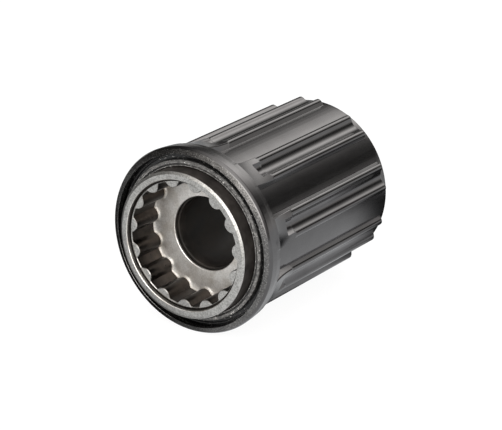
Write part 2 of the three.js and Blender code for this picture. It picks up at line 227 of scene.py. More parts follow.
class Nodes:
    """Short-hand for building a material's node tree."""

    def __init__(self, name, world=False):
        self.material = (bpy.data.worlds if world else bpy.data.materials).new(name)
        self.material.use_nodes = True
        self.tree = self.material.node_tree
        self.bsdf = self.tree.nodes.get("Principled BSDF")
        self.coords = self.add("ShaderNodeTexCoord").outputs["Object"]

    def add(self, kind, **settings):
        """A new node of this kind."""
        node = self.tree.nodes.new(kind)
        for key, value in settings.items():
            setattr(node, key, value)
        return node

    def link(self, source, target):
        """Feeds an input from a node's output, or sets it to a number or a colour."""
        if isinstance(source, (int, float, tuple)):
            target.default_value = source
        else:
            self.tree.links.new(source, target)

    def noise(self, scale, detail=4.0, roughness=0.6, stretch=(1, 1, 1)):
        """Fractal noise over the piece; scale is in cells per millimetre."""
        mapping = self.add("ShaderNodeMapping")
        mapping.inputs["Scale"].default_value = tuple(s * scale / MM for s in stretch)
        self.link(self.coords, mapping.inputs["Vector"])
        node = self.add("ShaderNodeTexNoise")
        node.inputs["Scale"].default_value = 1.0
        node.inputs["Detail"].default_value = detail
        node.inputs["Roughness"].default_value = roughness
        self.link(mapping.outputs["Vector"], node.inputs["Vector"])
        return node.outputs["Fac"]

    def polar_noise(self, scale_r, scale_y, scale_turn, detail=3.0):
        """Noise drawn out round the axle, as a lathe tool leaves it."""
        split = self.add("ShaderNodeSeparateXYZ")
        self.link(self.coords, split.inputs[0])
        radius = self.length(split.outputs[0], split.outputs[2])
        turn = self.math("ARCTAN2", split.outputs[2], split.outputs[0])
        join = self.add("ShaderNodeCombineXYZ")
        self.link(self.math("MULTIPLY", radius, scale_r / MM), join.inputs[0])
        self.link(self.math("MULTIPLY", split.outputs[1], scale_y / MM), join.inputs[1])
        self.link(self.math("MULTIPLY", self.math("ABSOLUTE", turn), scale_turn), join.inputs[2])
        node = self.add("ShaderNodeTexNoise")
        node.inputs["Scale"].default_value = 1.0
        node.inputs["Detail"].default_value = detail
        self.link(join.outputs[0], node.inputs["Vector"])
        return node.outputs["Fac"]

    def math(self, operation, a, b=0.0):
        """One arithmetic step."""
        node = self.add("ShaderNodeMath", operation=operation)
        self.link(a, node.inputs[0])
        self.link(b, node.inputs[1])
        return node.outputs[0]

    def length(self, a, b):
        """Distance from the origin of a point with these two coordinates."""
        return self.math("SQRT", self.math("ADD", self.math("MULTIPLY", a, a), self.math("MULTIPLY", b, b)))

    def spread(self, value, from_low, from_high, to_low, to_high):
        """Maps a value from one range onto another, clamped."""
        node = self.add("ShaderNodeMapRange")
        limits = {"From Min": from_low, "From Max": from_high, "To Min": to_low, "To Max": to_high}
        for key, number in limits.items():
            node.inputs[key].default_value = number
        self.link(value, node.inputs["Value"])
        return node.outputs["Result"]

    def blend(self, fac, a, b):
        """Colour a where fac is 0, turning to colour b where it is 1."""
        node = self.add("ShaderNodeMix", data_type="RGBA")
        self.link(fac, node.inputs["Factor"])
        self.link(a, node.inputs["A"])
        self.link(b, node.inputs["B"])
        return node.outputs["Result"]

    def bump(self, height, distance, strength=1.0):
        """Fine relief, with its distance in millimetres."""
        node = self.add("ShaderNodeBump")
        node.inputs["Distance"].default_value = distance * MM
        node.inputs["Strength"].default_value = strength
        self.link(height, node.inputs["Height"])
        self.link(node.outputs["Normal"], self.bsdf.inputs["Normal"])

    def surface(self, color, metallic, roughness):
        """Finishes the material and returns it."""
        self.link(color, self.bsdf.inputs["Base Color"])
        self.link(metallic, self.bsdf.inputs["Metallic"])
        self.link(roughness, self.bsdf.inputs["Roughness"])
        return self.material


def black_steel():
    """Black-oxide finish: dark mirror with cloudy roughness and fine grain."""
    n = Nodes("black_oxide_steel")
    cloud = n.noise(0.12, detail=5)
    grain = n.noise(6.0, detail=3)
    streak = n.noise(0.9, detail=4, stretch=(1.0, 0.12, 1.0))
    tint = n.blend(n.spread(cloud, 0.3, 0.7, 0, 1), (0.086, 0.083, 0.083, 1), (0.110, 0.107, 0.107, 1))
    color = n.blend(n.spread(grain, 0.62, 0.8, 0, 0.35), tint, (0.2, 0.19, 0.185, 1))
    rough = n.math("ADD", n.spread(streak, 0.3, 0.7, 0.14, 0.20), n.spread(grain, 0.3, 0.7, -0.02, 0.04))
    n.bump(grain, 0.004, 0.5)
    return n.surface(color, 1.0, rough)


def worn_black_steel():
    """The same finish handled and rubbed: bright specks break through it."""
    n = Nodes("rubbed_black_steel")
    speck = n.noise(4.0, detail=4, roughness=0.7)
    cloud = n.noise(0.3, detail=4)
    bare = n.math("ADD", n.spread(speck, 0.44, 0.66, 0, 0.6), n.spread(cloud, 0.35, 0.65, 0.0, 0.2))
    color = n.blend(bare, (0.06, 0.058, 0.056, 1), (0.30, 0.29, 0.28, 1))
    n.bump(speck, 0.03, 0.8)
    return n.surface(color, 1.0, n.spread(speck, 0.3, 0.7, 0.16, 0.3))


def turned_steel(name, light, stained, rough, grit):
    """Bare turned steel: warm, with fine rings round the axle, small stains and speckle."""
    n = Nodes(name)
    rings = n.polar_noise(9.0, 9.0, 1.2)
    stain = n.noise(0.35, detail=6)
    grain = n.noise(3.2, detail=4)
    tint = n.blend(n.spread(stain, 0.4, 0.7, 0, 1), light, stained)
    speck = tuple(c * 0.5 for c in stained[:3]) + (1,)
    color = n.blend(n.spread(grain, 0.42, 0.62, 0.0, grit), tint, speck)
    turned = n.spread(rings, 0.3, 0.7, rough, rough + 0.12)
    uneven = n.math("ADD", turned, n.spread(grain, 0.3, 0.7, 0.0, 0.08))
    n.bump(n.math("ADD", rings, n.math("MULTIPLY", grain, 2 * grit)), 0.014, 0.7)
    return n.surface(color, 1.0, uneven)


def scaled_steel(name, low, high, rough):
    """Hardened steel left with its heat scale: blotchy brown-black with an oily sheen."""
    n = Nodes(name)
    scale_marks = n.noise(0.5, detail=6)
    grain = n.noise(4.0, detail=4)
    color = n.blend(n.spread(scale_marks, 0.3, 0.7, 0, 1), low, high)
    blotchy = n.spread(scale_marks, 0.3, 0.7, rough, rough + 0.14)
    uneven = n.math("ADD", blotchy, n.spread(grain, 0.3, 0.7, 0.0, 0.06))
    n.bump(grain, 0.01, 0.5)
    return n.surface(color, 1.0, uneven)


def bore_painted_shade():
    """Oiled wall of the through bore, painted near black as painted shade deep in the hole."""
    n = Nodes("bore_steel_painted_shade")
    film = n.noise(0.4, detail=5)
    rings = n.polar_noise(3.0, 5.0, 0.6)
    # Painted shade: near-black colour standing in for the shade deep in the bore.
    color = n.blend(n.spread(film, 0.3, 0.7, 0, 1), (0.010, 0.009, 0.008, 1), (0.032, 0.026, 0.022, 1))
    n.bump(rings, 0.01, 0.5)
    return n.surface(color, 0.6, n.spread(film, 0.3, 0.7, 0.45, 0.65))


def ground_steel(name, color_low, color_high, rough_low, rough_high):
    """Hardened and ground steel, with grinding lines round the axle."""
    n = Nodes(name)
    lines = n.polar_noise(14.0, 14.0, 0.8)
    cloud = n.noise(0.4, detail=4)
    color = n.blend(n.spread(cloud, 0.3, 0.7, 0, 1), color_low, color_high)
    rough = n.spread(lines, 0.3, 0.7, rough_low, rough_high)
    n.bump(lines, 0.004, 0.5)
    return n.surface(color, 1.0, rough)


def seal_rubber():
    """Greased black rubber with bright specks, rubbed pale on the lips that stand forward, and painted near
    black further in, as painted shade in the gutter.
    """
    n = Nodes("seal_rubber")
    mottle = n.noise(1.6, detail=6, roughness=0.7)
    grain = n.noise(7.0, detail=3)
    split = n.add("ShaderNodeSeparateXYZ")
    n.link(n.coords, split.inputs[0])
    low, high = [(ORIGIN_Y + y) * MM for y in SEAL_RUB_AND_SHADE_Y]
    # Painted shade: deeper in than the lips the rubber turns near black, as painted shade in the gutter and
    # on its ridge.
    forward = n.spread(split.outputs[1], low, high, 1.0, 0.0)
    rubbed = n.math("MULTIPLY", n.spread(mottle, 0.4, 0.62, 0.15, 1), forward)
    color = n.blend(rubbed, (0.008, 0.008, 0.008, 1), (0.125, 0.122, 0.118, 1))
    speck = n.noise(2.6, detail=2)
    color = n.blend(n.spread(speck, 0.64, 0.72, 0.0, 0.8), color, (0.62, 0.61, 0.59, 1))
    rough = n.spread(mottle, 0.35, 0.7, 0.34, 0.62)
    n.bump(n.math("ADD", mottle, n.math("MULTIPLY", grain, 0.4)), 0.05, 0.7)
    return n.surface(color, 0.0, rough)


BLACK = black_steel()
WORN_BLACK = worn_black_steel()
BRIGHT = turned_steel("bare_turned_steel", (0.72, 0.70, 0.67, 1), (0.48, 0.44, 0.39, 1), 0.40, 0.25)
RING_STEEL = turned_steel("grained_ring_steel", (0.46, 0.45, 0.43, 1), (0.38, 0.37, 0.35, 1), 0.30, 0.75)
DARK_CORE = scaled_steel("hardened_core_steel", (0.095, 0.084, 0.078, 1), (0.16, 0.142, 0.132, 1), 0.34)
# Heat scale, darkened to near black as painted shade on the socket's flanks and in its undercut.
SOCKET = scaled_steel("socket_scale_and_painted_shade_steel", (0.014, 0.012, 0.011, 1), (0.034, 0.028, 0.024, 1), 0.24)
BORE = bore_painted_shade()
GROUND = ground_steel("ground_steel", (0.42, 0.41, 0.40, 1), (0.52, 0.51, 0.49, 1), 0.14, 0.26)
SPRING = ground_steel("spring_wire_steel", (0.40, 0.38, 0.35, 1), (0.50, 0.48, 0.44, 1), 0.18, 0.3)
POLISHED = ground_steel("polished_steel", (0.66, 0.66, 0.67, 1), (0.72, 0.72, 0.73, 1), 0.04, 0.09)
RUBBER = seal_rubber()


# ---- driver ----

DEGREE_MM = radians(1) * (SPLINE_TOP_R + PANEL_R) / 2     # arc length of one degree at the splines


def tilted(x, r, radius, start, stop, steps):
    """Points of a round across a rib, from one tilt of its surface to another; x, r is its middle."""
    tilts = [radians(start + (stop - start) * k / steps) for k in range(steps + 1)]
    return [(x + radius * sin(t), r + radius * cos(t)) for t in tilts]


def spline_half_profile():
    """(degrees from the spline's middle, radius) across half a spline and half a panel."""
    crest = RIB_CREST * DEGREE_MM
    outer = tilted(crest, SPLINE_TOP_R - CROWN_OUTER, CROWN_OUTER, 0, FLANK_TILT, 6)
    inner = tilted(crest, SPLINE_TOP_R - CROWN_INNER, CROWN_INNER, -GROOVE_TILT, 0, 6)
    bowl_radius = inner[0][0] / sin(radians(GROOVE_TILT))
    bowl_centre = inner[0][1] + bowl_radius * cos(radians(GROOVE_TILT))
    bowl = tilted(0, bowl_centre, -bowl_radius, 0, -GROOVE_TILT, 8)
    foot = [outer[-1], (RIB_FOOT * DEGREE_MM, PANEL_R, 0.2)]
    to_middle = 180 / SPLINE_COUNT - RIB_FOOT
    panel = [((RIB_FOOT + to_middle * share) * DEGREE_MM, PANEL_R) for share in (0.2, 0.4, 0.7, 1)]
    return [(x / DEGREE_MM, r) for x, r in bowl[:-1] + inner + outer[1:-1] + rounded(foot + panel, 3)]


def driver_angles():
    """Angles of the driver's mesh, with the grooved-spline radius at each."""
    half = spline_half_profile()
    profile = [(-x, r) for x, r in reversed(half[1:-1])] + half
    offsets, radii = np.array(profile).T
    angles = [SPLINE_PHASE + i * 360 / SPLINE_COUNT + offsets for i in range(SPLINE_COUNT)]
    return np.concatenate(angles) % 360, offsets, radii


def ratchet_radius(thetas):
    """Steep driving face, short valley, then the long ramp that lifts a pawl's nose in."""
    radii = [RATCHET_TIP_R, RATCHET_ROOT_R, RATCHET_ROOT_R - 0.1, RATCHET_TIP_R, RATCHET_TIP_R]
    return np.interp(thetas % RATCHET_PITCH, [*RATCHET_CORNERS, RATCHET_PITCH], radii)


def spline_radius(thetas, offsets, radii):
    """At each angle, how far it is from its spline's middle, and the finished radius there."""
    half_pitch = 180 / SPLINE_COUNT
    local = (thetas - SPLINE_PHASE + half_pitch) % (2 * half_pitch) - half_pitch
    return local, np.interp(local, offsets, radii)


def smooth(value):
    """0 below 0, 1 above 1, and an easy curve between."""
    value = np.clip(value, 0, 1)
    return value * value * (3 - 2 * value)


def neck_rows():
    """Sloped flange face, rim, and the smooth neck up to the shoulder."""
    return rounded([
        (SEAL_BORE_R, SEAL_SEAT_Y - 1.5),
        (SEAL_BORE_R, FLANGE_Y + 0.05),
        (SEAL_BORE_R + 0.05, FLANGE_Y, 0.03),
        (RIM_EDGE[0], RIM_EDGE[1], 0.35),
        (FLANGE_R, RIM_EDGE[1] + 0.6, 0.6),
        (FLANGE_R - 0.12, 5.2, 3.0),
        (NECK_R, SHOULDER_Y - 0.12, 0.5),
    ], 5)


def splined_rows(thetas, offsets, radii):
    """Ramps and shoulders, groove starts, the splines, and the ribs' far ends."""
    local, grooved = spline_radius(thetas, offsets, radii)
    out = np.abs(local)
    in_groove = out < RIB_CREST
    on_spline = smooth((RIB_FOOT + 0.1 - out) / 0.5)
    groove_start = GROOVE_Y + 0.6 * (out / RIB_CREST) ** 4

    def station(y):
        """Radius at every angle at one station."""
        climb = max(0, RAMP_END_Y - y) / (RAMP_END_Y - SHOULDER_Y)
        top = SPLINE_TOP_R + (NECK_R - SPLINE_TOP_R) * climb ** 2
        opened = smooth((y - groove_start) / 0.25)
        on_ramp = smooth((RAMP_END_Y + 0.1 - y) / 0.3)
        taller = (top - PANEL_R) / (SPLINE_TOP_R - PANEL_R) * (1 + 0.3 * on_ramp)
        tall = PANEL_R + (grooved - PANEL_R) * taller
        middle = top - (top - np.minimum(tall, top)) * opened
        splined = np.where(in_groove, middle, np.minimum(tall, top))
        fallen = PANEL_R + (NECK_R - PANEL_R) * (1 - smooth((y - SHOULDER_Y) / 0.25))
        return fallen + (np.maximum(splined, PANEL_R) - fallen) * on_spline

    stations = list(np.arange(SHOULDER_Y, 9.9, 0.09)) + list(np.arange(9.95, 11.4, 0.05))
    stations += list(np.arange(11.6, RAMP_END_Y + 0.5, 0.3)) + list(np.linspace(16, RIB_END_Y - 3, 4))
    rows = [(station(y), y) for y in stations]
    for y, left in RIB_END_FALL:
        rows.append((PANEL_R + (grooved - PANEL_R) * left, RIB_END_Y + y))
    return rows


def thread_rows(thetas):
    """Lockring thread, from the mouth inwards."""
    rows = []
    for y in np.arange(THREAD_Y[1], THREAD_Y[0], -THREAD_PITCH / THREAD_ROWS):
        turn = (y / THREAD_PITCH + thetas / 360) % 1
        height = np.clip(np.abs(turn - 0.5) * 2.6 - 0.15, 0, 1)
        rows.append((THREAD_CREST_R + (THREAD_ROOT_R - THREAD_CREST_R) * height, y))
    return rows


def driver_bore_rows(thetas):
    """From the lockring thread in to the seal recess at the flange."""
    lip = RATCHET_TIP_R
    far = rounded([
        (THREAD_ROOT_R + 0.05, THREAD_Y[0] - 0.1),
        (THREAD_ROOT_R + 0.05, THREAD_Y[0] - 0.4, 0.1),
        (RACE_BORE_R, THREAD_Y[0] - 0.4, 0.1),
        (RACE_BORE_R, OUTBOARD_ROW_Y + 1),
    ])
    far += arc(BALL_RING_R, OUTBOARD_ROW_Y, OUTER_RACE_R, 0, -84)
    far += rounded([
        (lip + 0.1, OUTBOARD_ROW_Y - OUTER_RACE_R),
        (lip, OUTBOARD_ROW_Y - OUTER_RACE_R - 0.15, 0.1),
        (lip, OUTBOARD_ROW_Y - 3),
        (lip + RELIEF_DEPTH, OUTBOARD_ROW_Y - 3 - RELIEF_DEPTH, 0.3),
        (lip + RELIEF_DEPTH, RELIEF_END_Y, 0.3),
        (lip, RELIEF_END_Y - RELIEF_DEPTH),
        (lip, RATCHET_Y[1] + 0.05),
    ])
    teeth = ratchet_radius(thetas)
    near = [(lip, RATCHET_Y[0] - 0.05)]
    near += rounded([
        (lip, INBOARD_ROW_Y + OUTER_RACE_R + 0.15),
        (lip, INBOARD_ROW_Y + OUTER_RACE_R, 0.08),
        (lip + 0.12, INBOARD_ROW_Y + OUTER_RACE_R),
    ])
    near += arc(BALL_RING_R, INBOARD_ROW_Y, OUTER_RACE_R, 84, 0)
    near += rounded([
        (RACE_BORE_R, INBOARD_ROW_Y - 1),
        (RACE_BORE_R, SEAL_SEAT_Y, 0.15),
        (SEAL_BORE_R, SEAL_SEAT_Y, 0.15),
        (SEAL_BORE_R, SEAL_SEAT_Y - 1),
    ])
    return far + [(teeth, RATCHET_Y[1]), (teeth, RATCHET_Y[0])] + near


def make_driver():
    """Driver in one skin: flange, neck, splines, plain rim, lockring thread, races and ratchet."""
    spline_angles, offsets, radii = driver_angles()
    corners = [i * RATCHET_PITCH + x for i in range(RATCHET_TEETH) for x in RATCHET_CORNERS]
    thetas = np.sort(np.concatenate([spline_angles, np.array(corners)]))
    keep = np.concatenate([[True], np.diff(thetas) > 0.08])
    thetas = thetas[keep]
    rim = rounded([
        (PANEL_R, RIB_END_Y + 0.3),
        (PANEL_R, DRIVER_END_Y - 0.3, 0.12),
        (PANEL_R - 0.3, DRIVER_END_Y, 0.12),
        (THREAD_ROOT_R + 0.25, DRIVER_END_Y, 0.08),
        (THREAD_ROOT_R, DRIVER_END_Y - 0.35),
    ])
    neck = neck_rows()
    rows = neck + splined_rows(thetas, offsets, radii) + rim + thread_rows(thetas) + driver_bore_rows(thetas)
    bm = skin(rows, thetas)
    flange_face = sum(r < RIM_EDGE[0] and y < RIM_EDGE[1] for r, y in neck)
    for number, face in enumerate(bm.faces):
        face.material_index = int(number // len(thetas) < flange_face)
    piece = finish_mesh(bm, "driver_shell", "driver", "black_steel", BLACK, "driver_body")
    piece.data.materials.append(WORN_BLACK)


# ---- core ----

def socket_radius(thetas):
    """Round-nosed teeth standing in from the socket's wall."""
    pitch = 360 / SOCKET_TEETH
    local = (thetas - SOCKET_PHASE + pitch / 2) % pitch - pitch / 2
    across = np.abs(SOCKET_ROOT_R * np.radians(local))
    nose = np.clip(across / (SOCKET_TOOTH_R + 0.25), 0, 1)
    return SOCKET_ROOT_R - SOCKET_TOOTH_H * (1 - nose ** 2.3) ** 0.75


def pawl_floor(thetas, degrees_):
    """Radius of the floor of a pawl's pocket at each angle; PAWL_DECK_R outside it."""
    room = 0.2
    floor = [
        (-PAWL_HEEL_R - room, 0.0), (-1.0, -1.0 - room), (0.0, -PAWL_HEEL_R - room),
        (3.0, -1.45 - room), (PAWL_NOSE - 0.1, -1.7 - room), (PAWL_NOSE + room, -1.65),
    ]
    turn = [degrees(atan2(u, PAWL_PIVOT_R + v)) for u, v in floor]
    radius = [sqrt(u * u + (PAWL_PIVOT_R + v) ** 2) for u, v in floor]
    ahead = (degrees_ - thetas + 180) % 360 - 180
    inside = np.interp(ahead, turn, radius)
    return np.where((ahead > turn[0]) & (ahead < turn[-1]), inside, PAWL_DECK_R)


def core_angles():
    """Angles of the core's mesh, with a close pair at each end of a pawl's pocket."""
    teeth = even(SOCKET_TEETH * 22) + SOCKET_PHASE
    edges = []
    for at in PAWL_ANGLES.values():
        for x in PAWL_POCKET:
            edges += [at - x - 0.06, at - x + 0.06]
    thetas = np.sort(np.concatenate([teeth % 360, np.array(edges) % 360]))
    return thetas[np.concatenate([[True], np.diff(thetas) > 0.05])]


def deck_rows(thetas):
    """The raised deck: pawl pockets in it, and the spring's groove round it."""
    pockets = np.minimum(*[pawl_floor(thetas, at) for at in PAWL_ANGLES.values()])
    wire_floor = SPRING_RING_R - SPRING_WIRE_R - 0.15
    groove = np.minimum(pockets, wire_floor)
    y0, y1 = PAWL_Y[0] - 0.2, PAWL_Y[1] + 0.2
    low, high = SPRING_Y - SPRING_SLOT / 2, SPRING_Y + SPRING_SLOT / 2
    return [
        (PAWL_DECK_R, 13.2), (PAWL_DECK_R, y0 - 0.02), (pockets, y0), (pockets, low - 0.02),
        (groove, low), (groove, high), (pockets, high + 0.02), (pockets, y1), (PAWL_DECK_R, y1 + 0.02),
        (PAWL_DECK_R, 23.0),
    ]


def ring_rows():
    """The bare end face that meets the hub, and its worn outer edge."""
    return rounded([
        (SOCKET_MOUTH_R + 0.1, 0.0),
        (CORE_R - 0.5, 0.0, 0.06),
        (CORE_R, 0.28, 0.06),
    ])


def core_side_rows(thetas):
    """Outside of the core: inboard race, barrel, the pawls' deck and the far end."""
    side = rounded([
        (CORE_R, 0.3),
        (CORE_R, 2.5),
        (CORE_R, INBOARD_ROW_Y - INNER_RACE_R, 0.2),
        (BALL_RING_R + 0.3, INBOARD_ROW_Y - INNER_RACE_R),
    ])
    side += arc(BALL_RING_R, INBOARD_ROW_Y, INNER_RACE_R, 268, 180)
    side += [(CORE_BARREL_R, 12.7)] + deck_rows(thetas)
    side += rounded([
        (CORE_BARREL_R, 23.5),
        (CORE_BARREL_R, CORE_END_Y - 0.2, 0.1),
        (CORE_BARREL_R - 0.2, CORE_END_Y, 0.1),
        (CUP_THREAD_R + 0.2, CORE_END_Y),
        (CUP_THREAD_R + 0.05, CORE_END_Y - 0.2),
    ])
    return side


def core_bore_rows():
    """The cup's seat, the bore, and the step behind the web."""
    return rounded([
        (CUP_THREAD_R + 0.05, 30.8),
        (CORE_BORE_R, 30.5, 0.2),
        (CORE_BORE_R, 11.0, 0.5),
        (WEB_STEP_R + 0.2, 11.0, 0.1),
        (WEB_STEP_R, 10.8),
        (WEB_STEP_R, 9.2),
        (WEB_STEP_R + 0.1, 9.0),
        (WEB_HOLE_R, 9.0, 0.1),
        (WEB_HOLE_R, WEB_Y + 0.45),
    ])


def socket_parts(teeth):
    """The toothed socket from its flat web out to its mouth, each part with its material; the flanks and the
    undercut are heat-scaled steel painted near black, as painted shade inside the socket.
    """
    web = rounded([
        (WEB_HOLE_R, WEB_Y + 0.4),
        (WEB_HOLE_R, WEB_Y + 0.1, 0.06),
        (WEB_HOLE_R + 0.1, WEB_Y, 0.06),
        (10.8, WEB_Y),
    ])
    root = [(teeth - 0.3, WEB_Y), (teeth - 0.12, WEB_Y - 0.06), (teeth - 0.02, WEB_Y - 0.2)]
    flank = [(teeth, WEB_Y - 0.34), (teeth, 4.5)]
    tooth_face = [
        (teeth, SOCKET_FACE_Y + 0.2), (teeth + 0.03, SOCKET_FACE_Y + 0.08),
        (teeth + 0.12, SOCKET_FACE_Y), (SOCKET_ROOT_R + 0.13, SOCKET_FACE_Y),
    ]
    ledge = SOCKET_FACE_Y + 0.14
    undercut = [
        (SOCKET_ROOT_R + 0.16, ledge - 0.1), (SOCKET_ROOT_R + 0.22, ledge), (SOCKET_MOUTH_R - 0.02, ledge),
    ]
    mouth = [(SOCKET_MOUTH_R, ledge - 0.1), (SOCKET_MOUTH_R, 0.5)]
    return [(web, BRIGHT), (root, BRIGHT), (flank, SOCKET), (tooth_face, RING_STEEL), (undercut, SOCKET),
            (mouth, RING_STEEL)]


def make_core():
    """Core in one skin, with a material for each stretch of its section."""
    thetas = core_angles()
    parts = [
        ([(SOCKET_MOUTH_R, 0.12)], BRIGHT),
        (ring_rows(), RING_STEEL),
        (core_side_rows(thetas), DARK_CORE),
        (core_bore_rows(), BORE),
        *socket_parts(socket_radius(thetas)),
    ]
    materials = [DARK_CORE, BRIGHT, BORE, RING_STEEL, SOCKET]
    bm = skin([row for part, _ in parts for row in part], thetas)
    bands = [materials.index(material) for part, material in parts for _ in part]
    for number, face in enumerate(bm.faces):
        face.material_index = bands[number // len(thetas)]
    piece = finish_mesh(bm, "core_body", "core", "bright_steel", materials[0], "core")
    for material in materials[1:]:
        piece.data.materials.append(material)


# ---- bearing cup, shims, seals ----

def make_cup():
    """Outboard cup; two notches across its rim take the fitting tool."""
    notch_half = degrees(CUP_NOTCH_HALF / CUP_RIM_R)
    sides = [a + s * notch_half + d for a in (0, 180) for s in (-1, 1) for d in (-0.15, 0.15)]
    thetas = np.unique(np.concatenate([even(180), np.array(sides) % 360]))
    off = np.abs((thetas + 90) % 180 - 90)
    end = np.where(off < notch_half, CUP_END_Y - CUP_NOTCH_DEPTH, CUP_END_Y)
    outer = rounded([
        (CUP_THREAD_R, 31.2),
        (CUP_THREAD_R, CUP_SHOULDER_Y, 0.1),
        (CORE_BARREL_R, CUP_SHOULDER_Y, 0.1),
        (CORE_BARREL_R, OUTBOARD_ROW_Y - 0.05),
    ])
    outer += arc(BALL_RING_R, OUTBOARD_ROW_Y, INNER_RACE_R, 180, 92)
    outer += rounded([
        (CUP_RIM_R + 0.6, OUTBOARD_ROW_Y + INNER_RACE_R),
        (CUP_RIM_R + 0.7, 38.4),
        (CUP_RIM_R + 0.7, 39.0, 0.1),
        (CUP_RIM_R, 39.35, 0.1),
        (CUP_RIM_R, 41.2),
    ])
    rim = [
        (CUP_RIM_R, end - 0.12),
        (CUP_RIM_R - 0.12, end),
        (CUP_MOUTH_R + 0.12, end),
        (CUP_MOUTH_R, end - 0.12),
    ]
    inner = [(CUP_MOUTH_R, CUP_DISH[1])] + arc(*CUP_DISH, -2, -74, 10)
    inner += rounded([
        (CUP_BORE_R + 0.1, 37.8),
        (CUP_BORE_R, 37.4, 0.1),
        (CUP_BORE_R, 31.1),
        (CUP_BORE_R + 0.1, 31.0),
        (CUP_THREAD_R - 0.2, 31.0),
    ])
    bm = skin(outer + rim + inner, thetas)
    finish_mesh(bm, "outboard_cup", "core", "ground_steel", GROUND, "bearing_cup")


def make_shim(node):
    """A thin washer between the core's end and the cup's shoulder."""
    inner, outer = CUP_THREAD_R + 0.1, CORE_BARREL_R - 0.1
    low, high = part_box(node)
    y0, y1 = low.y / MM - ORIGIN_Y, high.y / MM - ORIGIN_Y
    soft = (y1 - y0) / 5
    rows = rounded([
        (inner, (y0 + y1) / 2),
        (inner, y0, soft),
        (outer, y0, soft),
        (outer, y1, soft),
        (inner, y1, soft),
        (inner, (y0 + y1) / 2 + 0.01),
    ])
    finish_mesh(skin(rows, even(120)), node + "_fine", "core", "bright_steel", BRIGHT, node)


def make_inboard_seal():
    """Two lips, a fine one close to the core and a broad one, then a gutter with a low ridge in it."""
    outer = SEAL_BORE_R - 0.04
    wipe, broad, ridge = CORE_R + 0.12, 15.05, 16.6
    back, gutter = SEAL_SEAT_Y - 0.05, 4.9
    rows = rounded([
        (outer, 5.2), (outer, back, 0.1), (wipe + 0.17, back, 0.15), (wipe + 0.03, 4.2),
        (wipe, 3.5, 0.1), (wipe + 0.06, 3.3, 0.05), (wipe + 0.22, 3.26, 0.05), (wipe + 0.3, 3.55, 0.08),
        (broad, 3.6, 0.08), (broad + 0.09, 3.22, 0.05), (broad + 0.19, 3.16, 0.04), (broad + 0.45, 3.2),
        (broad + 0.53, 3.13, 0.04), (broad + 0.65, 3.14, 0.05), (broad + 0.75, 3.4, 0.1),
        (broad + 0.73, gutter, 0.15), (ridge - 0.1, gutter, 0.05), (ridge, 4.25, 0.06),
        (ridge + 0.18, 4.25, 0.06), (ridge + 0.26, gutter, 0.05), (outer, gutter),
    ])
    finish_mesh(skin(rows, even(240)), "inboard_lip_seal", "driver", "seal_rubber", RUBBER, "inboard_seal")


def make_outboard_seal():
    """A dust ring with a shallow channel in its outer face."""
    outer = RACE_BORE_R - 0.05
    back, floor, face = 39.6, 40.9, 41.4
    rows = rounded([
        (outer, 40.5), (outer, face, 0.12), (14.3, face, 0.1), (14.1, floor, 0.1), (13.4, floor, 0.1),
        (13.2, face, 0.1), (12.9, face, 0.08), (12.8, 40.6, 0.1), (12.95, back, 0.1), (outer, back, 0.1),
        (outer, 40.4),
    ])
    bm = skin(rows[::-1], even(240))
    finish_mesh(bm, "outboard_dust_ring", "driver", "seal_rubber", RUBBER, "outboard_seal")


# ---- balls, pawls, spring ----

def make_balls():
    """Both rows of loose balls share one fine sphere mesh."""
    bm = bmesh.new()
    bmesh.ops.create_icosphere(bm, subdivisions=3, radius=BALL_R * MM)
    for vert in bm.verts:
        vert.co = vert.co.normalized() * BALL_R * MM
    for face in bm.faces:
        face.smooth = True
    mesh = bpy.data.meshes.new("ball")
    bm.to_mesh(mesh)
    bm.free()
    mesh.materials.append(POLISHED)
    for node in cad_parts:
        if "_ball_" not in node:
            continue
        low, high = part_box(node)
        ball = bpy.data.objects.new(node + "_fine", mesh)
        ball.location = (low + high) / 2
        bpy.context.collection.objects.link(ball)
        bpy.context.view_layer.update()
        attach(ball, node.split("_")[0] + "_balls")
        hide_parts(node)


def pawl_outline():
    """(towards the nose, outwards) points round a pawl, from the heel's top the long way round."""
    heel = arc(0, 0, PAWL_HEEL_R, 80, 280, 20)
    tail = rounded([
        heel[-1],
        (3.0, -1.45, 2.0),
        (PAWL_NOSE - 0.3, -1.7, 0.15),
        (PAWL_NOSE, -0.15, 0.15),
        heel[0],
    ], 4)
    return heel + tail[1:-1]


def slab(bm, outline, y0, y1):
    """Adds a prism of the outline between two stations."""
    low = [bm.verts.new(Vector((u, y0, v)) * MM) for u, v in outline]
    high = [bm.verts.new(Vector((u, y1, v)) * MM) for u, v in outline]
    bm.faces.new(low)
    bm.faces.new(high[::-1])
    for i in range(len(low)):
        j = (i + 1) % len(low)
        bm.faces.new((low[i], high[i], high[j], low[j]))


def cut(target, outline, y0, y1):
    """Subtracts a prism from a mesh object."""
    bm = bmesh.new()
    slab(bm, outline, y0, y1)
    bmesh.ops.recalc_face_normals(bm, faces=bm.faces)
    mesh = bpy.data.meshes.new("cutter")
    bm.to_mesh(mesh)
    bm.free()
    cutter = bpy.data.objects.new("cutter", mesh)
    bpy.context.collection.objects.link(cutter)
    modifier = target.modifiers.new("cut", "BOOLEAN")
    modifier.operation = "DIFFERENCE"
    modifier.solver = "EXACT"
    modifier.object = cutter
    bpy.context.view_layer.update()
    evaluated = target.evaluated_get(bpy.context.evaluated_depsgraph_get())
    result = bpy.data.meshes.new_from_object(evaluated)
    target.modifiers.clear()
    target.data = result
    bpy.data.objects.remove(cutter)


